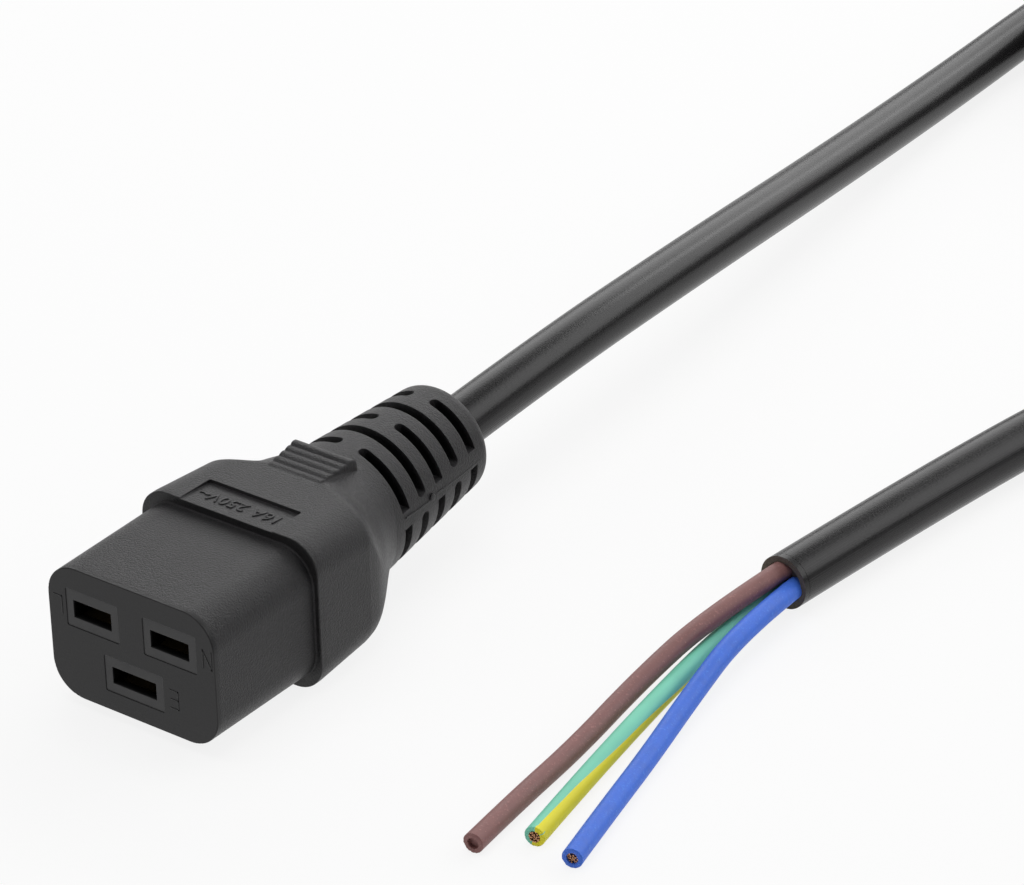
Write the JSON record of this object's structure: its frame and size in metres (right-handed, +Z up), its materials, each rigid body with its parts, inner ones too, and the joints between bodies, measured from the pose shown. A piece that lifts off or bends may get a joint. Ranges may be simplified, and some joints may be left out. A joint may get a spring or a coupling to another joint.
{
  "type": "c19 power connector",
  "caption": "Moulded C19 appliance connector with a slotted strain relief on a coiled power cord, the far end stripped to bare cores.",
  "frame": {"origin": "centre of the flat mating face, on the nose's middle", "axes": "+Y from the mating face back along the connector to its cord, +Z up with the line and neutral slots in the upper row, +X to the right seen from the front"},
  "size_m": [0.1167, 0.335, 0.023],
  "materials": {
    "housing_pvc": "fine-grained charcoal black flexible PVC",
    "carrier_plastic": "smooth rigid black plastic",
    "inner_plastic": "natural rigid plastic, sealed inside",
    "contact_brass": "bare stamped brass sheet",
    "sheath_pvc": "satin black flexible PVC",
    "tie_plastic": "satin black strap",
    "core_brown": "satin brown PVC",
    "core_blue": "satin blue PVC",
    "core_green_yellow": "green PVC with a yellow stripe",
    "copper": "bare fine copper strands"
  },
  "bodies": {
    "root": {"outer_mould": "housing_pvc", "contact_carrier": "carrier_plastic", "inner_mould": "inner_plastic", "line_contact": "contact_brass", "neutral_contact": "contact_brass", "earth_contact": "contact_brass", "line_lead": "core_brown", "neutral_lead": "core_blue", "earth_lead": "core_green_yellow", "line_lead_strands": "copper", "neutral_lead_strands": "copper", "earth_lead_strands": "copper", "cord_from_connector": "sheath_pvc", "cord_coil": "sheath_pvc", "cord_to_bare_end": "sheath_pvc", "coil_tie": "tie_plastic", "brown_core": "core_brown", "blue_core": "core_blue", "green_yellow_core": "core_green_yellow", "brown_core_strands": "copper", "blue_core_strands": "copper", "green_yellow_core_strands": "copper"}
  },
  "joints": []
}
